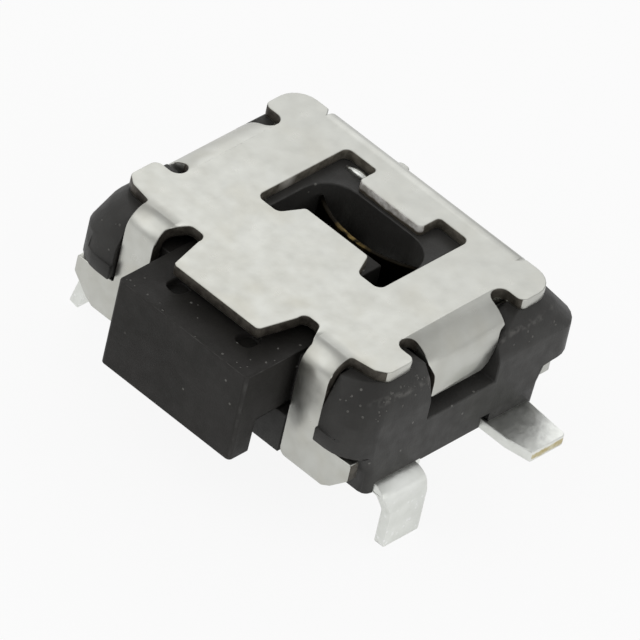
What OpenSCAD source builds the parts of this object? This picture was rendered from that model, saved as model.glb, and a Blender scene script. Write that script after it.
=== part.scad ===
// Tactile switch, side-push, surface mount.
// Frame: +Z up, z = 0 is the underside of the base, the button faces -Y, and the
// origin is the middle of the base. Sizes are in millimetres.

/* [Base] */
// Length of the base, end to end
base_w = 4.7; // [4.6:0.05:5.2]
// Height from the underside of the base to the top of the cover
body_h = 1.65; // [1.6:0.05:1.9]
// How far the corner blocks stand out in front of the front strips
block_proud = 0.05; // [0.03:0.01:0.1]
// How far the corner blocks stand out behind the rear flange
rear_block_proud = 0.3; // [0.1:0.05:0.4]
// Height of the underside of the corner blocks
block_z = 0.6; // [0.6:0.01:0.65]
// Radius of the upright corners
block_r = 0.35; // [0.25:0.05:0.4]
// Height where the block walls start to lean in
lean_z = 1.05; // [0.9:0.05:1.2]
// How far the end walls lean in
end_lean = 0.08; // [0.03:0.01:0.1]
// How far the front walls lean in
front_lean = 0.13; // [0.05:0.01:0.14]
// How far the rear walls lean in
rear_lean = 0.25; // [0.1:0.01:0.3]
// Height of the sloping shoulders under the cover
shoulder_h = 0.16; // [0.1:0.01:0.2]
// How far the shoulders slope in
shoulder_in = 0.12; // [0.06:0.01:0.14]
// Height of the front ledge at the foot of each corner block
ledge_h = 0.2; // [0.12:0.02:0.26]
// How far the front ledge stands out from its corner block
ledge_proud = 0.04; // [0.02:0.01:0.1]
// How far the ledge overlaps the side of the cover's front strip
ledge_catch = 0.14; // [0.06:0.01:0.16]
// How far the foot of the base lies behind the face of the front strips
foot_inset = 0.29; // [0.24:0.01:0.34]
// How far the foot flares out under the corner blocks
foot_flare = 0.12; // [0.06:0.01:0.14]
// Radius of the corners of the foot
foot_r = 0.12; // [0.06:0.01:0.16]
// Height of the sill under the button
sill_h = 0.55; // [0.45:0.01:0.57]
// Thickness of the floor of the contact chamber
floor_t = 0.3; // [0.22:0.02:0.34]
// Space beside a side tab in its recess
recess_gap = 0.11; // [0.06:0.01:0.14]
// How far a recess reaches below its tab
recess_sink = 0.2; // [0.1:0.02:0.24]

/* [Contact chamber] */
// Space between its side walls and the ends of the contact spring
chamber_gap = 0.1; // [0.08:0.01:0.13]
// Where its front wall is, ahead of the middle
chamber_front = 0.3; // [0.2:0.02:0.36]
// Where its rear wall is, behind the middle
chamber_rear = 0.94; // [0.93:0.01:0.97]
// Radius of its rear corners
chamber_r = 0.45; // [0.2:0.05:0.5]

/* [Cover] */
// Thickness of the sheet
sheet_t = 0.15; // [0.12:0.01:0.16]
// Width over the four corner ears
ear_span = 4.3; // [4.24:0.02:4.34]
// Depth over the front strips and the rear flange
cover_d = 3.5; // [3.4:0.02:3.6]
// Width over the two side tabs
tab_span = 4.5; // [4.46:0.01:4.54]
// Width of a side tab at its foot
tab_w = 0.95; // [0.8:0.05:1]
// Height of the foot of a side tab
tab_z = 0.97; // [0.9:0.01:1.05]
// How much wider the root of a side tab is than its foot, at the front
root_front = 0.065; // [0.02:0.005:0.1]
// How much wider the root of a side tab is than its foot, at the rear
root_rear = 0.295; // [0.2:0.005:0.32]
// Width of the notches beside the roots of the side tabs
notch_w = 0.26; // [0.16:0.02:0.28]
// Outer radius of the front bends
front_bend_r = 0.3; // [0.22:0.02:0.36]
// Outer radius of the rear bend
rear_bend_r = 0.22; // [0.2:0.01:0.3]
// Outer radius of the side bends
side_bend_r = 0.48; // [0.4:0.02:0.5]
// Gap between the two front strips
strip_gap = 2.42; // [2.38:0.01:2.46]
// Width of a front strip
strip_w = 0.47; // [0.44:0.01:0.48]
// Length of the rear ears, from the end of the rear flange
rear_ear_l = 0.57; // [0.5:0.01:0.64]
// Length of the wings at the feet of the front strips
front_wing_l = 0.59; // [0.5:0.01:0.64]
// Length of the wings at the foot of the rear flange
rear_wing_l = 0.66; // [0.55:0.01:0.7]
// Height of the wings
wing_h = 0.55; // [0.48:0.01:0.56]
// Reach of the visor in front of the front strips
visor_proud = 0.24; // [0.16:0.02:0.3]
// Width of the visor at its front edge
visor_w = 1.4; // [1.3:0.02:1.5]
// Width of the slits beside the visor, at their closed ends
slit_w = 0.24; // [0.2:0.01:0.28]

/* [Window] */
// Width of the window
window_w = 2.02; // [1.96:0.02:2.06]
// Where the window starts, ahead of the middle
window_front = 0.25; // [0.2:0.01:0.3]
// Where the window ends, behind the middle
window_rear = 1.3; // [1.26:0.01:1.34]
// Length of the tongue that points to the rear
front_tongue_l = 0.33; // [0.25:0.01:0.36]
// Length of the tongue that points to the front
rear_tongue_l = 0.32; // [0.2:0.01:0.36]
// Width of the tongues at their free ends
tongue_w = 1.03; // [0.9:0.01:1.1]

/* [Button] */
// Reach of the button in front of the front strips
button_proud = 0.73; // [0.65:0.01:0.85]
// Thickness of the head, front to rear
head_t = 0.35; // [0.24:0.01:0.38]
// Height of the underside of the head
head_z = 0.11; // [0.06:0.01:0.16]
// Gap between the top of the button and the visor
visor_gap = 0.11; // [0.06:0.01:0.14]
// Clearance between the button and the front strips beside it
side_gap = 0.14; // [0.08:0.01:0.16]
// Travel of the button
travel = 0.2; // [0.1:0.01:0.25]
// How far the retaining ears reach behind the front strips
ear_catch = 0.17; // [0.1:0.01:0.18]
// Thickness of the retaining ears, front to rear
ear_t = 0.4; // [0.3:0.02:0.5]
// Width of the pusher
pusher_w = 1.0; // [0.8:0.02:1.1]

/* [Contact spring] */
// Thickness of the leaf
leaf_t = 0.06; // [0.04:0.01:0.07]
// Height of the leaf
leaf_h = 1.0; // [0.8:0.02:1.04]
// Width of the arched leaf, end to end
leaf_w = 1.6; // [1.5:0.02:1.66]
// Rise of the arch
leaf_rise = 0.25; // [0.22:0.01:0.3]

/* [Terminals] */
// Thickness of the lead frame
lead_t = 0.15; // [0.12:0.01:0.16]
// How far the lead frame stands out below the base
lead_proud = 0.01; // [0:0.01:0.04]
// Width of a solder foot at its root
foot_w = 0.72; // [0.64:0.01:0.74]
// Width of a solder foot at its tip
foot_tip_w = 0.59; // [0.4:0.01:0.6]
// Reach of a solder foot from the end of the base
foot_l = 0.7; // [0.6:0.05:0.9]
// Width of a front leg
leg_w = 0.61; // [0.5:0.01:0.7]
// Width of a front leg at its shoulder
leg_root_w = 0.8; // [0.72:0.02:0.84]
// Depth of a front leg below the base
leg_l = 0.82; // [0.5:0.02:1.2]
// Outer radius of the bend of a front leg
leg_bend_r = 0.2; // [0.18:0.01:0.26]
// How many degrees short of upright the left front leg is bent
left_leg_lean = 12; // [0:1:15]

/* [Hidden] */
$fn = 48;
// Running clearance between the button and what guides it
run_gap = 0.03;
// Clearance between the base and the folded sheet
sheet_gap = 0.02;
// Overlap that lets one cut run out through a face
past = 0.1;
// Thickness of the slices that a hull joins
slice = 0.001;
// Small, middling and large roundings of outlines
fine_r = 0.03;
mid_r = 0.06;
wide_r = 0.1;

plastic_black = [0.14, 0.14, 0.14];
sheet_steel = [0.78, 0.78, 0.76];
spring_brass = [0.75, 0.62, 0.3];
lead_tin = [0.84, 0.85, 0.83];

half_w = base_w / 2;
base_top = body_h - sheet_t;
flange_y = cover_d / 2;
// Inner face of the strips and the flange, with the clearance in front of it
middle_y = flange_y - sheet_t - sheet_gap;

block_front = flange_y + block_proud;
block_rear = flange_y + rear_block_proud;
block_ridge = base_top - shoulder_h;
foot_front = flange_y - foot_inset;
foot_rear = foot_front - 0.02;
// The rear corners narrow more than the front ones towards their shoulders
rear_narrow = 0.04;

strip_in = strip_gap / 2;
strip_out = strip_in + strip_w;
// The slits between the visor and the front strips
front_bend_y = -flange_y + front_bend_r;
slit_in = visor_w / 2 + 0.12;
slit_out = slit_in + slit_w;
slit_end = front_bend_y + 0.14;
slant_end = -flange_y + sheet_t;

// Where the side tabs leave the plate, between two round-ended notches
tab_bend_x = tab_span / 2 - side_bend_r;
tab_root_front = -tab_w / 2 - root_front;
tab_root_rear = tab_w / 2 + root_rear;
notch_in = tab_bend_x + 0.03;
notch_out = notch_in + notch_w / 2;
rear_flange_end = ear_span / 2 - rear_ear_l;

// The button's levels and stops
button_half = strip_in - side_gap;
button_y = -flange_y - button_proud;
button_top = base_top - visor_gap;
neck_z = sill_h + run_gap + 0.02;
step_z = button_top - 0.06;
head_back = button_y + head_t;
ear_front = -flange_y + sheet_t + run_gap;
ear_rear = ear_front + ear_t;
ears_half = strip_in + ear_catch;
pocket_rear = ear_rear + travel + run_gap;
// The two small pockets in the top of the button, half under the visor
dimple_x = 0.57;
dimple_y = -flange_y - visor_proud + 0.04;
dimple_w = 0.25;
dimple_l = 0.3;
dimple_h = 0.1;

// The spring stands in the chamber between the pusher and the contacts
chamber_half = leaf_w / 2 + chamber_gap;
leaf_z = floor_t + 0.05;
leaf_front = 0.42;
leaf_foot = leaf_front + leaf_rise;
pusher_end = leaf_front - 0.01;
centre_contact_y = leaf_front + leaf_t + travel + 0.05;
side_contact_y = leaf_foot + leaf_t + 0.01;

// Levels and strips of the lead frame, which lies in the underside of the base.
// Each strip is [x0, x1, y0, y1], drawn for the right-hand end.
lead_top = lead_t - lead_proud;
lead_low = -lead_proud;
lead_inset = 0.13;
leg_front = lead_inset - foot_front;
leg_rear = leg_front + leg_root_w;
foot_back = foot_rear - lead_inset;
foot_fore = foot_back - foot_w;
bus_in = half_w - 0.75;
bus_out = half_w - 0.3;
end_strips = [
    [bus_in, half_w, leg_front, leg_rear],
    [bus_in, half_w, foot_fore, foot_back],
    [bus_in, bus_out, leg_front, foot_back]];
arm_front = foot_back - 0.28;

// Width and height of the uprights that reach into the chamber
centre_contact_w = 0.56;
side_contact_w = 0.26;
side_contact_out = chamber_half - 0.04;
side_contact_in = side_contact_out - side_contact_w;
centre_contact_top = 0.85;
side_contact_top = 0.9;
common_front = -0.45;
common_rear = -0.15;

centre_arm = [-bus_in - past, centre_contact_w / 2, arm_front, foot_back];
centre_stem = [-centre_contact_w / 2, centre_contact_w / 2, centre_contact_y, arm_front + past];
common_arm = [-side_contact_out, bus_in + past, common_front, common_rear];
right_stem = [side_contact_in, side_contact_out, common_front, side_contact_y + lead_t];
left_stem = [-side_contact_out, -side_contact_in, common_front, side_contact_y + lead_t];

// ---- Plane geometry ----

function unit(v) = v / norm(v);

// The arc that rounds corner p, between neighbours a and b, with radius r
function corner(a, p, b, r, steps = 6) =
    r == 0 ? [p] :
    let(u = unit(a - p), v = unit(b - p),
        half = acos(u * v) / 2,
        centre = p + unit(u + v) * r / sin(half),
        start = p + u * r / tan(half) - centre,
        turn = cross(u, v) < 0 ? 180 - 2 * half : 2 * half - 180)
    [for (k = [0:steps])
        let(q = turn * k / steps)
        centre + [start.x * cos(q) - start.y * sin(q), start.x * sin(q) + start.y * cos(q)]];

// An outline whose points are [x, y, corner radius]
function rounded(pts) =
    let(n = len(pts), flat = [for (p = pts) [p.x, p.y]])
    [for (i = [0:n - 1])
        each corner(flat[(i + n - 1) % n], flat[i], flat[(i + 1) % n], pts[i].z)];

// Extrudes a profile drawn in (y, z) from x0 to x1
module along_x(x0, x1) {
    translate([x0, 0, 0]) rotate([90, 0, 90]) linear_extrude(x1 - x0) children();
}

// Extrudes a profile drawn in (x, z) from y0 to y1
module along_y(y0, y1) {
    translate([0, y1, 0]) rotate([90, 0, 0]) linear_extrude(y1 - y0) children();
}

module both_sides() {
    children();
    mirror([1, 0, 0]) children();
}

module box(x0, x1, y0, y1, z0, z1) {
    translate([x0, y0, z0]) cube([x1 - x0, y1 - y0, z1 - z0]);
}

// Sheet that turns down through a quarter bend to a leg that ends at height foot.
// The outer face of the leg is at out, and the top of the sheet is at top. A lean
// above 0 leaves the leg that many degrees short of upright.
module bent_leg(out, top, foot, r, t, lean = 0) {
    reach = r * 2;
    translate([out - r, top - r]) {
        intersection() {
            difference() {
                circle(r);
                circle(r - t);
            }
            polygon([[0, 0], [0, reach], [reach, reach], [reach * cos(lean), reach * sin(lean)]]);
        }
        rotate(lean) translate([r - t, foot - top + r]) square([t, top - r - foot]);
    }
}

// ---- Base ----

module block_outline(end_in, front_in, rear_in, r, narrow = 0) {
    w = half_w - end_in;
    front = front_in - block_front;
    rear = block_rear - rear_in;
    polygon(rounded([[-w, front, r], [w, front, r], [w - narrow, rear, r], [narrow - w, rear, r]]));
}

// The upper body: walls that rise and then lean in, and round shoulders under the cover
module block_form() {
    translate([0, 0, block_z]) linear_extrude(lean_z - block_z) block_outline(0, 0, 0, block_r);
    hull() {
        translate([0, 0, lean_z - slice]) linear_extrude(slice) block_outline(0, 0, 0, block_r);
        translate([0, 0, block_ridge]) linear_extrude(slice)
            block_outline(end_lean, front_lean, rear_lean, block_r + wide_r, rear_narrow);
        translate([0, 0, base_top - slice]) linear_extrude(slice)
            block_outline(end_lean + shoulder_in, front_lean + shoulder_in / 2, rear_lean + shoulder_in,
                          block_r + 2 * wide_r, rear_narrow);
    }
}

// The ledge at the front foot of a corner block, which laps over the cover's strip
module block_ledge() {
    x0 = strip_out - ledge_catch;
    x1 = strip_out + sheet_gap + past;
    y0 = -block_front - ledge_proud;
    y1 = -flange_y - sheet_gap;
    outline = rounded([
        [x0, y0, mid_r], [half_w, y0, block_r + wide_r], [half_w, 0, 0],
        [x1, 0, 0], [x1, y1, 0], [x0, y1, 0]]);
    translate([0, 0, block_z]) linear_extrude(ledge_h) polygon(outline);
}

// The foot of the base, flared up to the corner blocks
module foot_outline(out) {
    front = -foot_front - out;
    rear = foot_rear + out;
    polygon(rounded([
        [-half_w, front, foot_r], [half_w, front, foot_r],
        [half_w, rear, foot_r], [-half_w, rear, foot_r]]));
}

// A stretch of the foot from z0 to z1, which flares from out0 to out1
module foot_stretch(z0, z1, out0, out1) {
    hull() {
        translate([0, 0, z0]) linear_extrude(slice) foot_outline(out0);
        translate([0, 0, z1 - slice]) linear_extrude(slice) foot_outline(out1);
    }
}

module foot_form() {
    knee_z = block_z * 0.6;
    knee_out = foot_flare / 4;
    foot_stretch(0, knee_z, 0, knee_out);
    foot_stretch(knee_z - slice, block_z, knee_out, foot_flare);
}

module tab_recess() {
    half = tab_w / 2 + recess_gap;
    bend_in = tab_bend_x - sheet_gap;
    bend_z = base_top - side_bend_r / 2;
    box(tab_span / 2 - sheet_t - sheet_gap, half_w + past, -half, half, tab_z - recess_sink, body_h);
    // Room for the bend of the tab and its wider root
    box(bend_in, half_w + past, -half, half, bend_z, body_h);
    along_x(bend_in, half_w + past) polygon([
        [0, bend_z], [half, bend_z], [tab_root_rear + fine_r, base_top - wide_r],
        [tab_root_rear + notch_w, base_top], [tab_root_rear + notch_w, body_h], [0, body_h]]);
}

module contact_chamber() {
    half = chamber_half;
    translate([0, 0, floor_t]) linear_extrude(body_h) polygon(rounded([
        [-half, -chamber_front, wide_r], [half, -chamber_front, wide_r],
        [half, chamber_rear, chamber_r], [-half, chamber_rear, chamber_r]]));
}

module button_way() {
    pocket = ears_half + run_gap;
    channel = pusher_w / 2 + run_gap;
    // Mouth between the front strips
    box(-strip_in, strip_in, -block_front - past, ear_front, sill_h, body_h);
    // Pocket for the retaining ears, closed in front by the strips
    box(-pocket, pocket, -middle_y - past, pocket_rear, sill_h, body_h);
    // Channel for the pusher
    box(-channel, channel, pocket_rear - past, past - chamber_front, sill_h, body_h);
}

// Channels that take the front strips and the rear flange, with room for their bends
module cover_channels() {
    strip_x0 = strip_in - sheet_gap;
    strip_x1 = strip_out + sheet_gap;
    flange_x = rear_flange_end + sheet_gap;
    both_sides() {
        box(strip_x0, strip_x1, -block_front - past, -middle_y, block_z, body_h);
        box(strip_x0, strip_x1, -block_front - past, front_bend_y + sheet_gap,
            base_top - front_bend_r / 2, body_h);
    }
    box(-flange_x, flange_x, middle_y, block_rear + past, block_z - past, body_h);
    box(-flange_x, flange_x, flange_y - rear_bend_r - sheet_gap, block_rear + past,
        base_top - rear_bend_r / 2, body_h);
}

module base() {
    relief_h = 0.12;
    relief_d = 0.09;
    niche_h = 0.27;
    niche_w = 0.12;
    color(plastic_black) difference() {
        union() {
            block_form();
            both_sides() block_ledge();
            foot_form();
            // The middle, which fills the space between the strips and the flange
            box(block_r - half_w, half_w - block_r, -middle_y, middle_y, 0, block_z + past);
            // Sill under the button
            box(sheet_gap - strip_in, strip_in - sheet_gap, -flange_y, 0, 0, sill_h);
        }
        button_way();
        contact_chamber();
        cover_channels();
        both_sides() {
            tab_recess();
            // Relief under the end, between the leads, and the niche beside the solder foot
            box(half_w - relief_d, half_w + past, leg_rear - fine_r, foot_fore, -past, relief_h);
            box(half_w - relief_d, half_w + past, foot_fore - niche_w, foot_fore + fine_r, -past, niche_h);
        }
        lead_channels();
    }
}

// ---- Cover ----

// Right half of the plate before its bends, seen from above
module plate_outline() {
    ear = ear_span / 2;
    front_ear_y = front_bend_y + 0.04;
    rear_ear_y = flange_y - 0.12;
    rear_bend_y = flange_y - rear_bend_r;
    // The inner edge of a strip slants from the end of the slit to the inside of the bend
    slit_front = slit_out + (strip_in - slit_out) * (front_bend_y - slit_end) / (slant_end - slit_end);
    polygon(rounded([
        [0, -flange_y - visor_proud, 0], [visor_w / 2, -flange_y - visor_proud, mid_r],
        [slit_in, front_bend_y, 0], [slit_in, slit_end, wide_r],
        [slit_out, slit_end, wide_r], [slit_front, front_bend_y, 0],
        [strip_out, front_bend_y, 0], [strip_out, front_ear_y, mid_r],
        [ear - 0.14, front_ear_y + 0.06, wide_r], [ear, front_ear_y + 0.17, wide_r],
        [ear, tab_root_front - notch_w, wide_r],
        [notch_out, tab_root_front - notch_w, 0], [notch_out, tab_root_front - notch_w / 2, 0],
        [tab_bend_x, tab_root_front - notch_w / 2, 0], [tab_bend_x, tab_root_rear + notch_w / 2, 0],
        [notch_out, tab_root_rear + notch_w / 2, 0], [notch_out, tab_root_rear + notch_w, 0],
        [ear, tab_root_rear + notch_w, wide_r], [ear, rear_ear_y, 0.32],
        [rear_flange_end + mid_r, rear_ear_y, fine_r], [rear_flange_end, rear_bend_y, 0],
        [0, rear_bend_y, 0]]));
}

module window_outline() {
    w = window_w / 2;
    free = tongue_w / 2;
    root = free + 0.15;
    front_end = front_tongue_l - window_front;
    rear_end = window_rear - rear_tongue_l;
    polygon(rounded([
        [-w, -window_front, wide_r], [-root, -window_front, wide_r],
        [-free, front_end, mid_r], [free, front_end, mid_r],
        [root, -window_front, wide_r], [w, -window_front, wide_r],
        [w, window_rear, wide_r], [free, window_rear, mid_r],
        [free, rear_end, mid_r], [-free, rear_end, mid_r],
        [-free, window_rear, mid_r], [-w, window_rear, wide_r]]));
}

// Foot of a flange with one wing: from x0, past the flange's edge x1, to the wing's end
module wing_outline(x0, x1, wing_l) {
    end = x1 + wing_l;
    cut = 0.24;
    rise = 0.07;
    top = wing_h + 2 * past;
    polygon(rounded([
        [x0, 0, wide_r], [end - cut - 2 * mid_r, 0, mid_r], [end - cut, rise, fine_r],
        [end, wing_h - cut, fine_r], [end, wing_h, fine_r], [x1, wing_h, fine_r],
        [x1, top, 0], [x0, top, 0]]));
}

module side_tab() {
    half = tab_w / 2;
    front = tab_root_front - notch_w;
    rear = tab_root_rear + notch_w;
    root_z = base_top - mid_r;
    intersection() {
        along_y(front, rear) bent_leg(tab_span / 2, body_h, tab_z, side_bend_r, sheet_t);
        // The tab narrows from its root to its foot
        along_x(0, half_w) polygon(rounded([
            [-half, tab_z, fine_r],
            [half - 0.09, tab_z, fine_r / 2], [half + 0.015, tab_z + 0.08, fine_r / 2],
            [half + root_rear * 0.65, root_z - 0.04, wide_r], [tab_root_rear, root_z, 0],
            [rear, root_z, 0], [rear, body_h + past, 0], [front, body_h + past, 0],
            [front, root_z, 0], [tab_root_front, root_z, 0], [-half, root_z - 0.14, wide_r]]));
    }
}

// Notch beside the root of a side tab, with a round end
module tab_notch(y) {
    r = notch_w / 2;
    translate([notch_out, y + r, tab_z]) linear_extrude(body_h) {
        circle(r);
        translate([0, -r]) square([half_w, notch_w]);
    }
}

module front_strip() {
    front = -flange_y - past;
    intersection() {
        along_x(slit_out, strip_out) mirror([1, 0])
            bent_leg(flange_y, body_h, wing_h, front_bend_r, sheet_t);
        linear_extrude(body_h + past) polygon([
            [slit_out, 0], [slit_out, slit_end], [strip_in, slant_end], [strip_in, front],
            [strip_out, front], [strip_out, 0]]);
    }
    along_y(-flange_y, -flange_y + sheet_t) wing_outline(strip_in, strip_out, front_wing_l);
}

module rear_flange() {
    stub_x = -0.5;
    stub_w = 0.18;
    stub_l = 0.07;
    stub_h = 0.1;
    along_x(-rear_flange_end, rear_flange_end) bent_leg(flange_y, body_h, 0, rear_bend_r, sheet_t);
    both_sides() along_y(flange_y - sheet_t, flange_y)
        wing_outline(rear_flange_end - 3 * wide_r, rear_flange_end, rear_wing_l);
    // Stub of the strip that carried the blank
    translate([stub_x, flange_y, base_top - stub_h]) linear_extrude(stub_h) polygon(rounded([
        [-stub_w / 2, -fine_r, 0], [stub_w / 2, -fine_r, 0],
        [stub_w / 2, stub_l, mid_r], [-stub_w / 2, stub_l, mid_r]]));
}

module cover() {
    color(sheet_steel) union() {
        difference() {
            union() {
                translate([0, 0, base_top]) linear_extrude(sheet_t) {
                    plate_outline();
                    mirror([1, 0]) plate_outline();
                }
                both_sides() side_tab();
            }
            translate([0, 0, base_top - past]) linear_extrude(sheet_t + 2 * past) window_outline();
            both_sides() {
                tab_notch(tab_root_front - notch_w);
                tab_notch(tab_root_rear);
            }
        }
        both_sides() front_strip();
        rear_flange();
    }
}

// ---- Button ----

module button() {
    color(plastic_black) difference() {
        union() {
            // Head
            translate([0, 0, head_z]) linear_extrude(button_top - head_z) polygon(rounded([
                [-button_half, button_y, mid_r], [button_half, button_y, mid_r],
                [button_half, head_back, fine_r], [-button_half, head_back, fine_r]]));
            // Neck over the sill
            box(-button_half, button_half, head_back - past, ear_rear, neck_z, button_top);
            // Ears behind the front strips
            box(-ears_half, ears_half, ear_front, ear_rear, neck_z, step_z);
            // Pusher
            box(-pusher_w / 2, pusher_w / 2, ear_front, pusher_end, neck_z, step_z);
        }
        both_sides() translate([dimple_x, dimple_y, button_top - dimple_h]) linear_extrude(dimple_h + past)
            polygon(rounded([
                [-dimple_w / 2, -dimple_l / 2, wide_r], [dimple_w / 2, -dimple_l / 2, wide_r],
                [dimple_w / 2, dimple_l / 2, wide_r], [-dimple_w / 2, dimple_l / 2, wide_r]]));
    }
}

// ---- Contact spring ----

// Arched leaf that stands on its edge, its crest to the front
module contact_spring() {
    half = leaf_w / 2;
    arc_r = (half * half + leaf_rise * leaf_rise) / (2 * leaf_rise);
    color(spring_brass) translate([0, 0, leaf_z]) linear_extrude(leaf_h) intersection() {
        translate([0, leaf_front + arc_r]) difference() {
            circle(arc_r, $fn = 96);
            circle(arc_r - leaf_t, $fn = 96);
        }
        translate([-half, leaf_front - past]) square([leaf_w, leaf_rise + leaf_t + past]);
    }
}

// ---- Terminals ----

module strip(s, z0, z1) {
    box(s[0], s[1], s[2], s[3], z0, z1);
}

module centre_upright() {
    half = centre_contact_w / 2;
    box(-half, half, centre_contact_y, centre_contact_y + lead_t, lead_low, centre_contact_top);
}

module side_uprights() {
    both_sides() box(side_contact_in, side_contact_out, side_contact_y, side_contact_y + lead_t,
                     lead_low, side_contact_top);
}

module left_strips(z0, z1) {
    mirror([1, 0, 0]) for (s = end_strips) strip(s, z0, z1);
    strip(centre_arm, z0, z1);
    strip(centre_stem, z0, z1);
}

module right_strips(z0, z1) {
    for (s = end_strips) strip(s, z0, z1);
    strip(common_arm, z0, z1);
    strip(right_stem, z0, z1);
    strip(left_stem, z0, z1);
}

module lead_channels() {
    left_strips(-past, lead_top);
    right_strips(-past, lead_top);
    centre_upright();
    side_uprights();
}

// Solder foot: leaves the base level and narrows to its tip
module solder_foot() {
    root = half_w - past;
    tip = half_w + foot_l;
    tip_fore = foot_fore + (foot_w - foot_tip_w) / 2;
    translate([0, 0, lead_low]) linear_extrude(lead_t) polygon(rounded([
        [root, foot_fore, 0], [half_w + foot_l / 2, foot_fore, wide_r], [tip, tip_fore, fine_r],
        [tip, tip_fore + foot_tip_w, mid_r], [half_w, foot_back, 0], [root, foot_back, 0]]));
}

// Front leg: turns down at the end of the base
module front_leg(lean = 0) {
    out = half_w + leg_bend_r;
    narrow = leg_rear - leg_w;
    rear_cut = 0.12;
    intersection() {
        along_y(leg_front, leg_rear) union() {
            bent_leg(out, lead_top, -leg_l, leg_bend_r, lead_t, lean);
            translate([half_w - past, lead_low]) square([past, lead_t]);
        }
        // The leg narrows under its shoulder
        along_x(half_w - 2 * past, out + leg_l) polygon(rounded([
            [narrow, -leg_l, fine_r], [leg_rear, -leg_l, fine_r], [leg_rear, -2 * past, wide_r],
            [leg_rear - rear_cut, past + lead_top, 0], [leg_front, past + lead_top, 0],
            [leg_front, 0.02, fine_r], [narrow, -0.32, wide_r]]));
    }
}

module left_terminal() {
    color(lead_tin) union() {
        left_strips(lead_low, lead_top);
        centre_upright();
        mirror([1, 0, 0]) {
            solder_foot();
            front_leg(left_leg_lean);
        }
    }
}

module right_terminal() {
    color(lead_tin) union() {
        right_strips(lead_low, lead_top);
        side_uprights();
        solder_foot();
        front_leg();
    }
}

base();
cover();
button();
contact_spring();
left_terminal();
right_terminal();
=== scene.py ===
"""Side-push surface-mount tactile switch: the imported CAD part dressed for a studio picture.

Metres, +Z up, the button towards -Y. Lengths that are multiplied by MM are in millimetres, and so are those
that are given to the functions that say so."""
import math
import random

import bmesh
import bpy
from mathutils import Matrix, Vector
from mathutils.bvhtree import BVHTree

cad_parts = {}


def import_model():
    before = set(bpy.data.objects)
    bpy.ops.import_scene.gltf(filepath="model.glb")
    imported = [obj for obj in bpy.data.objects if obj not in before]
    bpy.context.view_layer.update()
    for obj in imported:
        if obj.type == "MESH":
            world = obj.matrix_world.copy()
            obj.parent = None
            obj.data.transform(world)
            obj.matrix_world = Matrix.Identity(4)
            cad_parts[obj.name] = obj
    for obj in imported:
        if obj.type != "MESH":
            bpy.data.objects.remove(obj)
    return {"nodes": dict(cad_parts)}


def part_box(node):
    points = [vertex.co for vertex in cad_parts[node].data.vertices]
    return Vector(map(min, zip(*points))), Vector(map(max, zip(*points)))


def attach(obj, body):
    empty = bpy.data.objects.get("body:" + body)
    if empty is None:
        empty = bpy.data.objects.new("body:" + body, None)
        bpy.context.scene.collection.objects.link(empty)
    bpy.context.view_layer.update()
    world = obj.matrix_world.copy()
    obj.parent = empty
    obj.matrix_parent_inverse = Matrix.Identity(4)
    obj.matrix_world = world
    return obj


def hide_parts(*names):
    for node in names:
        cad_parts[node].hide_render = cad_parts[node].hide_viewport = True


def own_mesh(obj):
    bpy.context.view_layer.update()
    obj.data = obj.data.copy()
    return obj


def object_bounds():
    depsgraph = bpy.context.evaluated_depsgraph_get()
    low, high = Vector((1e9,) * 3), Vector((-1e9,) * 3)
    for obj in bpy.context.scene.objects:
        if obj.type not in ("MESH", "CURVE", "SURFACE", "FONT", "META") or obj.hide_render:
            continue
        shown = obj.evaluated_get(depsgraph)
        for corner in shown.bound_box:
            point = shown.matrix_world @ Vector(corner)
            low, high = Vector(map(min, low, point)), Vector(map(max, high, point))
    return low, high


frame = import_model()
cad_low, cad_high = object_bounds()
MM = 0.001

# Places on the part that the materials go by, in millimetres from its origin
STRIP_SIDE = 1.14            # |x| just short of the inner edges of the cover's front strips
EAR_SIDE = 2.12              # |x| past which the cover's rim is the ends of its ears
REAR = 1.40                  # y between the window and the rear ears
WINDOW_SIDE = 1.06           # |x| just past the sides of the window
WINDOW_FRONT = -0.27         # y just in front of the window
TONGUE = (0.60, 0.90, 1.10)  # |x| and both y around the free end of the window's rear tongue
FLANK_SIDE = 2.05            # |x| past which the sheet between the blocks is a side tab
HEAD_SIDE = 1.06             # |x| just short of the sides of the button's head
HEAD_FRONT = -2.44           # y just behind the front of the button's head
SHOULDER = 1.33              # z of the line where the shoulders of the base's corner blocks start
BLOCK_SIDE = 2.14            # |x| past which that line is painted pale, partly scuffs and partly painted highlight
FOOT_TIP = 3.00              # |x| just short of the cut ends of the leads


def linked(name, data):
    """A new object of the scene that holds a mesh, a lamp or a camera."""
    thing = bpy.data.objects.new(name, data)
    bpy.context.scene.collection.objects.link(thing)
    return thing


def mesh_of(bm, name, smooth=False):
    """The mesh of a finished bmesh, which is freed."""
    mesh = bpy.data.meshes.new(name)
    bm.to_mesh(mesh)
    bm.free()
    for p in mesh.polygons:
        p.use_smooth = smooth
    return mesh


def paint(piece, *materials):
    piece.data.materials.clear()
    for m in materials:
        piece.data.materials.append(m)


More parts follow.
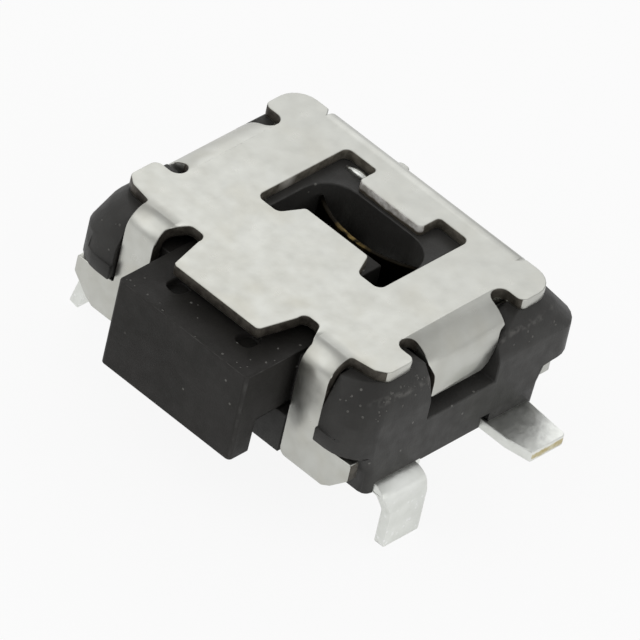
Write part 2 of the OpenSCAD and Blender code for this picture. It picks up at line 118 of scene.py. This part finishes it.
# ---------------------------------------------------------------- meshes
def softened(node, name, body, radius, merge=0.006, above=-9.0):
    """A copy of a CAD node that stands for it, with its hard edges above a height broken by a small round.

    All lengths are in millimetres. Corners of the CAD mesh that are closer than merge become one first."""
    weld = 0.0004
    flat, hard_turn, smooth_turn = (math.radians(a) for a in (1.5, 30, 50))
    bm = bmesh.new()
    bm.from_mesh(frame["nodes"][node].data)
    bmesh.ops.scale(bm, vec=(1 / MM,) * 3, verts=bm.verts)
    bmesh.ops.remove_doubles(bm, verts=bm.verts, dist=weld)
    solid = BVHTree.FromBMesh(bm)
    low, high = ([c / MM for c in corner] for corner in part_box(node))
    bmesh.ops.remove_doubles(bm, verts=bm.verts, dist=merge)
    bmesh.ops.dissolve_degenerate(bm, dist=merge, edges=bm.edges)
    bmesh.ops.dissolve_limit(bm, angle_limit=flat, verts=bm.verts, edges=bm.edges)
    hard = [e for e in bm.edges if len(e.link_faces) == 2
            and e.calc_face_angle(0.0) > hard_turn and min(v.co.z for v in e.verts) > above]
    bmesh.ops.bevel(bm, geom=hard, offset=radius, offset_type="OFFSET", segments=2, profile=0.5,
                    affect="EDGES", clamp_overlap=False, miter_outer="SHARP", miter_inner="SHARP")
    # Corners that the bevel threw off the solid, or out of its box, come back
    for v in bm.verts:
        nearest, _, _, away = solid.find_nearest(v.co)
        if away > radius / 2:
            v.co = nearest
        v.co = [min(max(c, a), b) for c, a, b in zip(v.co, low, high)]
    # Slivers that it turned over look outwards again
    for face in bm.faces:
        face.normal_update()
        _, outward, _, _ = solid.find_nearest(face.calc_center_median())
        if face.normal.dot(outward) < -0.5:
            face.normal_flip()
    bmesh.ops.scale(bm, vec=(MM,) * 3, verts=bm.verts)
    piece = linked(name, mesh_of(bm, name, smooth=True))
    piece.data.set_sharp_from_angle(angle=smooth_turn)
    weigh = piece.modifiers.new("weigh", "WEIGHTED_NORMAL")
    weigh.keep_sharp = True
    weigh.weight = 80
    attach(piece, body)
    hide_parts(node)
    return piece


# ---------------------------------------------------------------- nodes
class Graph:
    """Short ways to add nodes to a node tree."""

    def __init__(self, tree):
        self.tree = tree

    def put(self, socket, value):
        """Links a socket to another node's output, or gives it a constant."""
        if isinstance(value, bpy.types.NodeSocket):
            self.tree.links.new(value, socket)
        else:
            socket.default_value = value

    def node(self, kind, **settings):
        n = self.tree.nodes.new(kind)
        for key, value in settings.items():
            if key in n.inputs.keys():
                self.put(n.inputs[key], value)
            else:
                setattr(n, key, value)
        return n

    def ramp(self, value, a, b, low=0.0, high=1.0, curve="LINEAR"):
        """Goes from low at a to high at b, and stays there outside of them."""
        n = self.node("ShaderNodeMapRange", clamp=True, interpolation_type=curve)
        ends = {"Value": value, "From Min": a, "From Max": b, "To Min": low, "To Max": high}
        for key, v in ends.items():
            self.put(n.inputs[key], v)
        return n.outputs[0]

    def math(self, operation, *values):
        n = self.node("ShaderNodeMath", operation=operation)
        for socket, value in zip(n.inputs, values):
            self.put(socket, value)
        return n.outputs[0]

    def vector(self, operation, a, b):
        n = self.node("ShaderNodeVectorMath", operation=operation)
        self.put(n.inputs[0], a)
        self.put(n.inputs[1], b)
        return n.outputs


class Material(Graph):
    """A node material whose patterns are laid out in millimetres of the object."""

    def __init__(self, name):
        self.mat = bpy.data.materials.new(name)
        self.mat.use_nodes = True
        super().__init__(self.mat.node_tree)
        self.shader = self.tree.nodes["Principled BSDF"]
        self.coord = self.node("ShaderNodeTexCoord").outputs["Object"]

    def place(self, axis):
        return self.node("ShaderNodeSeparateXYZ", Vector=self.coord).outputs[axis]

    def in_mm(self, stretch=(1, 1, 1)):
        scale = [s / MM for s in stretch]
        return self.node("ShaderNodeMapping", Vector=self.coord, Scale=scale).outputs[0]

    def noise(self, per_mm, detail=2.0, rough=0.5, stretch=(1, 1, 1)):
        cloud = self.node("ShaderNodeTexNoise", Vector=self.in_mm(stretch), Scale=per_mm, Detail=detail,
                          Roughness=rough)
        return cloud.outputs["Fac"]

    def spots(self, per_mm, size):
        """Small round spots, 1 inside and 0 outside, about per_mm to the millimetre."""
        cells = self.node("ShaderNodeTexVoronoi", Vector=self.in_mm(), Scale=per_mm)
        return self.ramp(cells.outputs["Distance"], size * 0.6, size, 1.0, 0.0)

    def near(self, point, inner, outer, level=1.0, curve="LINEAR", coord=None):
        """A level that fades to 0 from inner to outer millimetres away from a point."""
        start = self.coord if coord is None else coord
        away = self.vector("DISTANCE", start, Vector(point) * MM)["Value"]
        return self.ramp(away, inner * MM, outer * MM, level, 0.0, curve)

    def mix(self, factor, a, b):
        n = self.node("ShaderNodeMix", data_type="RGBA", Factor=factor)
        for key, colour in ((6, a), (7, b)):
            constant = isinstance(colour, tuple)
            self.put(n.inputs[key], (*colour, 1) if constant else colour)
        return n.outputs[2]

    def clouds(self, pattern, half, a, b):
        """Goes from colour a to colour b over the middle of a noise pattern."""
        return self.mix(self.ramp(pattern, 0.5 - half, 0.5 + half), a, b)

    def outer_edge_mask(self, radius=0.03):
        """1 on outer edges, where the surface turns within radius, in millimetres."""
        true = self.node("ShaderNodeNewGeometry").outputs["Normal"]
        rounded = self.node("ShaderNodeBevel", samples=6, Radius=radius * MM).outputs[0]
        agree = self.vector("DOT_PRODUCT", true, rounded)["Value"]
        return self.ramp(self.math("SUBTRACT", 1.0, agree), 0.02, 0.25)

    def rounds(self):
        """1 on the rounds between square faces, where the surface looks along no axis."""
        normal = self.node("ShaderNodeNewGeometry").outputs["Normal"]
        parts = self.node("ShaderNodeSeparateXYZ", Vector=normal).outputs
        x, y, z = (self.math("ABSOLUTE", parts[axis]) for axis in "XYZ")
        return self.ramp(self.math("MAXIMUM", self.math("MAXIMUM", x, y), z), 0.80, 0.95, 1.0, 0.0)

    def finish(self, colour, roughness, bump=None, depth=0.0, **constants):
        """Fills the shader: colour, roughness, a bump of a depth in millimetres, and constants by name."""
        self.put(self.shader.inputs["Base Color"], (*colour, 1) if isinstance(colour, tuple) else colour)
        self.put(self.shader.inputs["Roughness"], roughness)
        if bump is not None:
            raised = self.node("ShaderNodeBump", Strength=1.0, Distance=depth * MM, Height=bump)
            self.put(self.shader.inputs["Normal"], raised.outputs[0])
        for key, value in constants.items():
            self.shader.inputs[key.replace("_", " ")].default_value = value
        return self.mat


# ---------------------------------------------------------------- materials
def sheet_metal():
    """Satin rolled stainless sheet: soft clouds, stains from handling, and duller towards the rear."""
    m = Material("cover_satin_sheet")
    cloud = m.math("MULTIPLY_ADD", m.noise(4.5), 0.5, m.math("MULTIPLY", m.noise(1.3), 0.5))
    colour = m.clouds(cloud, 0.12, (0.55, 0.55, 0.505), (0.62, 0.625, 0.585))
    stain = m.math("MULTIPLY", m.ramp(m.noise(1.7, 1), 0.56, 0.80), 0.5)
    colour = m.mix(stain, colour, (0.52, 0.50, 0.42))
    rearward = m.ramp(m.place("Y"), -1.2 * MM, 1.6 * MM, 0.0, 0.7)
    colour = m.mix(rearward, colour, (0.50, 0.505, 0.475))
    # Painted reflection: the right strip is darkened where it mirrors the button's black side, and made
    # rougher there
    button_reflection = m.near((1.49, -1.75, 1.13), 0.10, 0.34, 0.6, "SMOOTHSTEP")
    broken = m.math("MULTIPLY", button_reflection, m.ramp(m.noise(7), 0.3, 0.6, 0.6, 1.0))
    colour = m.mix(broken, colour, (0.27, 0.265, 0.245))
    rough = m.math("MULTIPLY_ADD", button_reflection, 0.22, m.ramp(m.noise(5, 3), 0.3, 0.7, 0.27, 0.37))
    # The strips start to turn down a little before their bends
    on_strip = m.ramp(m.math("ABSOLUTE", m.place("X")), STRIP_SIDE * MM, (STRIP_SIDE + 0.05) * MM)
    drop = m.ramp(m.place("Y"), -1.62 * MM, -1.32 * MM, 9.0, 0.0, "SMOOTHSTEP")
    uneven = m.noise(5, 2, 0.4, (1.0, 0.6, 1.0))
    wave = m.math("MULTIPLY_ADD", m.math("MULTIPLY", on_strip, drop), -1.0, uneven)
    return m.finish(colour, rough, wave, 0.0035, Metallic=1.0)


def cut_metal(name, dark, light, metallic, bright=None, darker_below=None):
    """Edge of the sheet where the die went through: a painted glint near one point, or darker below a wavy
    height.
    """
    m = Material(name)
    colour = m.clouds(m.noise(9, 3, 0.6), 0.12, dark, light)
    if bright is not None:
        # Painted glint: paler near the given point
        colour = m.mix(m.near(bright, 0.05, 0.17, 0.9), colour, (0.55, 0.53, 0.48))
    if darker_below is not None:
        # Darker below a wavy line across the edge
        wavy = m.math("MULTIPLY_ADD", m.math("SUBTRACT", m.noise(5, 3), 0.5), 0.10 * MM, m.place("Z"))
        below = m.ramp(wavy, (darker_below - 0.012) * MM, (darker_below + 0.012) * MM, 1.0, 0.0)
        colour = m.mix(below, colour, (0.10, 0.085, 0.065))
    rough = m.ramp(m.noise(30), 0.3, 0.7, 0.42, 0.6)
    return m.finish(colour, rough, m.noise(40), 0.002, Metallic=metallic)


def scuffed_and_lit_shoulders(m, skin):
    """The shoulder lines of the base's corner blocks are painted pale: partly scuffs, partly a painted
    highlight along the ridge.
    """
    wander = m.math("MULTIPLY_ADD", m.math("SUBTRACT", m.noise(5), 0.5), 0.10 * MM, m.place("Z"))
    away = m.math("ABSOLUTE", m.math("SUBTRACT", wander, SHOULDER * MM))
    line = m.ramp(away, 0.012 * MM, 0.05 * MM, 1.0, 0.0)
    broken = m.math("MULTIPLY", line, m.ramp(m.noise(11, 3), 0.42, 0.62))
    outer = m.ramp(m.math("ABSOLUTE", m.place("X")), BLOCK_SIDE * MM, (BLOCK_SIDE + 0.08) * MM)
    return m.mix(m.math("MULTIPLY", m.math("MULTIPLY", broken, outer), 0.22), skin, (0.30, 0.29, 0.27))


def dusty_and_lit_rounds(m, skin):
    """Dust and a painted highlight leave stretches of the outer rounds of the button's head paler."""
    front = m.ramp(m.place("Y"), HEAD_FRONT * MM, (HEAD_FRONT + 0.04) * MM, 1.0, 0.0)
    sides = m.ramp(m.math("ABSOLUTE", m.place("X")), (HEAD_SIDE - 0.03) * MM, HEAD_SIDE * MM)
    pale = m.math("MULTIPLY", m.rounds(), m.ramp(m.noise(6, 3), 0.44, 0.66, 0.22, 1.0))
    return m.mix(m.math("MULTIPLY", pale, m.math("MAXIMUM", front, sides)), skin, (0.065, 0.063, 0.06))


def moulding(name, dark, light, roughness, edge_scuff_and_highlight, shine, scuffing_and_highlight):
    """Glass-filled black moulding: fine matt skin, edges paled by scuffs and a painted highlight, a few pale
    specks, and pale marks of its own that are partly scuffs and partly painted highlight.
    """
    m = Material(name)
    skin = m.clouds(m.noise(2.2, 4, 0.6), 0.15, dark, light)
    # Painted highlight, with scuffs: the outer edges are paler
    scuffed_and_lit_edges = m.math("MULTIPLY", m.outer_edge_mask(), m.ramp(m.noise(9, 3, 0.6), 0.52, 0.66))
    skin = m.mix(m.math("MULTIPLY", scuffed_and_lit_edges, edge_scuff_and_highlight), skin, (0.42, 0.41, 0.39))
    specks = m.math("MULTIPLY", m.spots(5.0, 0.10), m.ramp(m.noise(1.9), 0.5, 0.56))
    skin = m.mix(m.math("MULTIPLY", specks, 0.3), skin, (0.40, 0.39, 0.36))
    rough = m.ramp(m.noise(6, 3), 0.3, 0.7, *roughness)
    return m.finish(scuffing_and_highlight(m, skin), rough, m.noise(34, 3, 0.65), 0.003, IOR=1.46, Specular_IOR_Level=shine)


def tin():
    """Matt tin plating: white and slightly wavy, with crumbs and a duller skin on the bent legs."""
    m = Material("lead_tin")
    colour = m.clouds(m.noise(3.0, 3), 0.15, (0.80, 0.815, 0.775), (0.90, 0.915, 0.88))
    leg = m.ramp(m.place("Z"), -0.25 * MM, -0.02 * MM, 1.0, 0.0)
    patches = m.math("MULTIPLY", leg, m.ramp(m.noise(3), 0.46, 0.54))
    crumbs = m.math("MULTIPLY", m.spots(12, 0.30), patches)
    colour = m.mix(crumbs, colour, (0.97, 0.98, 0.96))
    plain = m.math("MULTIPLY_ADD", leg, 0.14, m.ramp(m.noise(7, 3), 0.3, 0.7, 0.30, 0.42))
    rough = m.math("MULTIPLY_ADD", crumbs, -0.2, plain)
    wave = m.math("MULTIPLY_ADD", crumbs, 0.8, m.noise(8))
    return m.finish(colour, rough, wave, 0.004, Metallic=1.0)


def brass():
    """Cut end of a plated lead: brass in the middle, with the plating drawn over its borders."""
    m = Material("lead_cut_brass")
    colour = m.clouds(m.noise(12, 3), 0.15, (0.55, 0.47, 0.25), (0.70, 0.66, 0.48))
    ragged = m.math("MULTIPLY_ADD", m.noise(16, 3), 0.06 * MM, m.place("Z"))
    away = m.math("ABSOLUTE", m.math("SUBTRACT", ragged, 0.09 * MM))
    colour = m.mix(m.ramp(away, 0.030 * MM, 0.050 * MM), colour, (0.84, 0.85, 0.81))
    return m.finish(colour, m.ramp(m.noise(22), 0.3, 0.7, 0.35, 0.5), m.noise(30), 0.002, Metallic=1.0)


def bronze():
    """Rolled spring bronze of the contact leaf, nearly black with painted shade except for a painted glint on
    the crest of its arch.
    """
    m = Material("spring_bronze")
    # Measured along the sheet alone, since the arch is pressed flat in use
    along = m.vector("MULTIPLY", m.coord, (1, 0, 1))["Vector"]
    crest = m.near((-0.05, 0, 1.35), 0.10, 0.32, coord=along)
    patchy = m.math("MULTIPLY", crest, m.ramp(m.noise(6, 3), 0.42, 0.58))
    # Painted shade: the near-black bronze; painted glint: the paler patches on the crest
    colour = m.mix(patchy, (0.010, 0.008, 0.005), (0.24, 0.17, 0.06))
    rolled = m.noise(30, stretch=(1, 0.2, 1))
    return m.finish(colour, m.ramp(m.noise(9), 0.3, 0.7, 0.40, 0.55), rolled, 0.001, Metallic=1.0)


def lint():
    """Pale dust."""
    m = Material("pale_dust")
    return m.finish(m.mix(m.noise(40, 1), (0.07, 0.068, 0.062), (0.16, 0.156, 0.145)), 0.8)


# ---------------------------------------------------------------- the switch
SATIN, SHEARED, BURNISHED_AND_LIT, WINDOW_WALL = range(4)


def cover_material(p):
    """Which of the cover's materials a face shows: satin on the sheet, and on its edges the die's cut with
    painted shade, painted pale as a highlight at the tongue's end.
    """
    x, y = abs(p.center.x) / MM, p.center.y / MM
    below_top = (cad_high.z - p.center.z) / MM
    half, end, root = TONGUE
    if below_top < 0.14 and abs(p.normal.z) < 0.5:  # upright and within the thickness of the plate
        if x > EAR_SIDE or y > REAR:
            return SATIN
        if x < half and end < y < root:
            return BURNISHED_AND_LIT
        return WINDOW_WALL if x < WINDOW_SIDE and y > WINDOW_FRONT else SHEARED
    if below_top > 0.2 and y < REAR:                # on the strips, their wings and the side tabs
        on_flank = x > FLANK_SIDE and y > -REAR
        across = abs(p.normal.y) if on_flank else abs(p.normal.x)
        if across > 0.7 or p.normal.z < -0.7:
            return SHEARED
    return SATIN


tin_plate, bare_brass, pale_dust = tin(), brass(), lint()

cover = softened("cover", "cover_folded_sheet", "body", 0.014, merge=0.004)
paint(cover, sheet_metal(),
      # Painted shade: the sheared edges are near-black, standing for the black parts that they mirror
      cut_metal("cover_sheared_edge", (0.045, 0.039, 0.031), (0.10, 0.09, 0.074), 0.6),
      # Painted highlight: the end of the window's rear tongue is pale over its burnish, with a darker lower
      # border
      cut_metal("cover_burnished_and_lit_edge", (0.44, 0.42, 0.38), (0.86, 0.84, 0.80), 0.25, darker_below=1.555),
      # Painted shade: the window's walls are dim, with a painted glint near their left end
      cut_metal("cover_window_wall", (0.10, 0.09, 0.07), (0.20, 0.182, 0.15), 0.4,
                bright=(-1.04, 0.28, 1.62)))
for p in cover.data.polygons:
    p.material_index = cover_material(p)

# Below 0.17 mm the slivers beside the lead channels are too thin to be rounded
base = softened("base", "base_moulding", "body", 0.018, above=0.17)
paint(base, moulding("base_black_moulding", (0.029, 0.028, 0.026), (0.040, 0.039, 0.036), (0.42, 0.56),
                     edge_scuff_and_highlight=0.8, shine=0.40, scuffing_and_highlight=scuffed_and_lit_shoulders))

button = softened("button", "push_button", "button", 0.018, merge=0.01)
paint(button, moulding("button_black_moulding", (0.019, 0.018, 0.016), (0.026, 0.0245, 0.0225), (0.48, 0.62),
                       edge_scuff_and_highlight=0.6, shine=0.24, scuffing_and_highlight=dusty_and_lit_rounds))

for side in ("left", "right"):
    lead = softened(side + "_terminal", side + "_lead", "body", 0.012)
    paint(lead, tin_plate, bare_brass)
    for p in lead.data.polygons:
        p.material_index = int(abs(p.normal.x) > 0.9 and abs(p.center.x) > FOOT_TIP * MM)

# The leaf gets a mesh of its own, and ends 0.01 mm short of the button
leaf = softened("contact_spring", "contact_leaf", "body", 0.008)
paint(leaf, bronze())
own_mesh(leaf)


# ---------------------------------------------------------------- flash and dust
def chip(name, x0, x1, y, z, width, thick):
    """A bright sliver that the die left at the window's edge: curled up a little, thin at both ends.

    All lengths are in millimetres."""
    steps, blunt, skew = 8, 0.06, 0.03
    bm = bmesh.new()
    rows = []
    for k in range(steps + 1):
        t = k / steps
        swell = math.sin(math.pi * min(max(t, blunt), 1 - blunt)) ** 0.6
        x, w, h = x0 + (x1 - x0) * t, width * swell / 2, thick * swell
        slant = skew * (t - 0.5)
        rows.append([bm.verts.new(Vector((x, y + slant + dy, z + dz)) * MM)
                     for dy, dz in ((-w, 0), (-w * 0.4, h), (w * 0.6, h * 0.8), (w, 0))])
    for a, b in zip(rows, rows[1:]):
        for k in range(4):
            bm.faces.new((a[k], a[(k + 1) % 4], b[(k + 1) % 4], b[k]))
    bm.faces.new(rows[0][::-1])
    bm.faces.new(rows[-1])
    bmesh.ops.recalc_face_normals(bm, faces=bm.faces)
    piece = linked(name, mesh_of(bm, name, smooth=True))
    paint(piece, tin_plate)
    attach(piece, "body")


def flake(bm, place, outward, size, chance):
    """A flat crumb of five or six corners that lies on a surface."""
    turn = outward.to_track_quat("Z", "Y")
    corners = chance.randint(5, 6)
    rim = []
    for k in range(corners):
        angle = math.tau * k / corners
        reach = size * chance.uniform(0.6, 1.0)
        corner = Vector((reach * math.cos(angle), reach * math.sin(angle), 0))
        rim.append(bm.verts.new(place + turn @ corner))
    crown = bm.verts.new(place + turn @ Vector((0, 0, size * 0.5)))
    for k in range(corners):
        bm.faces.new((rim[k], rim[(k + 1) % corners], crown))


def dusted(piece, name, body, fields, seed):
    """Crumbs on the upward faces of a piece, in fields of (x0, x1, y0, y1, count), in millimetres."""
    chance = random.Random(seed)
    above, steepest = 3.0, 0.15
    under = bmesh.new()
    under.from_mesh(piece.data)
    tree = BVHTree.FromBMesh(under)
    under.free()
    bm = bmesh.new()
    for x0, x1, y0, y1, count in fields:
        for _ in range(count):
            start = Vector((chance.uniform(x0, x1), chance.uniform(y0, y1), above)) * MM
            place, outward, _, _ = tree.ray_cast(start, Vector((0, 0, -1)))
            if place is not None and outward.z > steepest:
                flake(bm, place, outward, chance.uniform(0.010, 0.023) * MM, chance)
    dust = linked(name, mesh_of(bm, name))
    paint(dust, pale_dust)
    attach(dust, body)


chip("window_flash", x0=-0.88, x1=-0.49, y=1.19, z=1.498, width=0.12, thick=0.07)
dusted(base, "base_dust", "body", (
    (2.19, 2.31, -1.5, -0.6, 26),     # end of the right front block
    (1.7, 2.2, -1.72, -1.55, 7),      # its front
    (2.19, 2.33, 0.65, 1.6, 9),       # end of the right rear block
    (-2.3, -1.7, -1.72, -1.4, 5),     # left front block
    (-0.9, 0.9, -0.3, 1.3, 5)), 3)    # chamber, seen through the window
dusted(button, "button_dust", "button", (
    (-1.05, 1.05, -2.46, -2.34, 10),  # front of the head's top
    (0.8, 1.05, -2.40, -1.7, 5),      # its right side
    (-1.0, 1.0, -2.3, -1.95, 4)), 7)  # its middle


# ---------------------------------------------------------------- stage, light, camera
def floor():
    """White floor: a plain surface that keeps the object's shadow, and a glow for the picture and mirrors."""
    glow_share, mirrored_share = 0.9, 0.68
    bpy.ops.mesh.primitive_plane_add(size=0.6, location=(0, 0, cad_low.z))
    plane = bpy.context.object
    plane.name = "studio_floor"
    m = Material("floor_white")
    m.finish((0.88, 0.88, 0.88), 0.9, Specular_IOR_Level=0.0)
    path = m.node("ShaderNodeLightPath").outputs
    mirrored = m.math("MULTIPLY", path["Is Glossy Ray"], mirrored_share)
    seen = m.math("MULTIPLY", m.math("MAXIMUM", path["Is Camera Ray"], mirrored), glow_share)
    glow = m.node("ShaderNodeEmission", Strength=1.0)
    both = m.node("ShaderNodeMixShader")
    for socket, value in zip(both.inputs, (seen, m.shader.outputs[0], glow.outputs[0])):
        m.put(socket, value)
    m.put(m.tree.nodes["Material Output"].inputs["Surface"], both.outputs[0])
    paint(plane, m.mat)


def lamp(name, place, size, radiance):
    """A soft rectangular lamp that looks at the middle of the switch; its power follows from its size."""
    middle = Vector((0, 0, 0.8)) * MM
    data = bpy.data.lights.new(name, "AREA")
    data.shape = "RECTANGLE"
    data.size, data.size_y = size
    data.energy = radiance * 4 * size[0] * size[1]
    holder = linked(name, data)
    holder.location = place
    holder.rotation_euler = (middle - Vector(place)).to_track_quat("-Z", "Y").to_euler()


def world(ambient, lights):
    """Studio air: an even level with broad soft lights in it, each (direction, half-width in degrees, level).

    The camera sees plain white instead."""
    core = 0.35  # share of a light's half-width that has its full level
    air = bpy.data.worlds.new("studio")
    bpy.context.scene.world = air
    air.use_nodes = True
    g = Graph(air.node_tree)
    looking = g.node("ShaderNodeTexCoord").outputs["Generated"]
    level = ambient
    for direction, spread, gain in lights:
        along = g.vector("DOT_PRODUCT", looking, Vector(direction).normalized())["Value"]
        border, full = (math.cos(math.radians(a)) for a in (spread, spread * core))
        level = g.math("ADD", g.ramp(along, border, full, 0.0, gain, "SMOOTHSTEP"), level)
    to_camera = g.node("ShaderNodeLightPath").outputs["Is Camera Ray"]
    background = air.node_tree.nodes["Background"]
    background.inputs["Color"].default_value = (1, 1, 1, 1)
    g.put(background.inputs["Strength"], g.ramp(to_camera, 0.0, 1.0, level, 1.0))


def photo_camera(azimuth, elevation, roll, centre, width):
    """The camera of the photograph, turned in degrees, and so far away that it has hardly any perspective.

    The centre is what it looks at, across and up the picture from the part's origin, and the width is what
    the picture takes in there, both in millimetres."""
    distance, sensor = 0.2, 36
    azimuth, elevation, roll = (math.radians(a) for a in (azimuth, elevation, roll))
    level_back = Vector((math.sin(azimuth), -math.cos(azimuth), 0))
    back = math.cos(elevation) * level_back + math.sin(elevation) * Vector((0, 0, 1))
    right = Vector((math.cos(azimuth), math.sin(azimuth), 0))
    up = back.cross(right)
    image_x = math.cos(roll) * right + math.sin(roll) * up
    image_y = math.cos(roll) * up - math.sin(roll) * right
    target = (centre[0] * image_x + centre[1] * image_y) * MM
    turn = Matrix((image_x, image_y, back)).transposed().to_4x4()
    camera = linked("camera", bpy.data.cameras.new("camera"))
    camera.matrix_world = Matrix.Translation(target + back * distance) @ turn
    camera.data.sensor_width = sensor
    camera.data.lens = sensor * distance / (width * MM)
    camera.data.clip_start, camera.data.clip_end = 0.02, 2.0
    return camera


floor()
world(0.48, (
    ((-0.45, 0.70, 0.55), 29, 0.47),   # rear left, high
    ((-0.45, -0.58, 0.68), 36, 0.85),  # front left, high
    ((-0.45, -0.88, 0.15), 34, 0.08),  # front left, low
    ((-0.76, 0.63, 0.15), 36, 0.52),   # rear left, low
    ((0.45, 0.63, 0.62), 35, 0.24),    # rear right, high
    ((0.77, 0.63, 0.10), 34, 0.16)))   # rear right, low
lamp("lamp_top", (-0.10, 0.14, 0.15), size=(0.12, 0.12), radiance=0.18)
lamp("lamp_right", (0.22, -0.03, 0.05), size=(0.20, 0.12), radiance=0.75)
bpy.context.scene.camera = photo_camera(azimuth=35.63, elevation=39.29, roll=13.27, centre=(0.1436, 0.2390),
                                        width=7.535)
bpy.context.scene.view_settings.view_transform = "Standard"

bpy.context.view_layer.update()
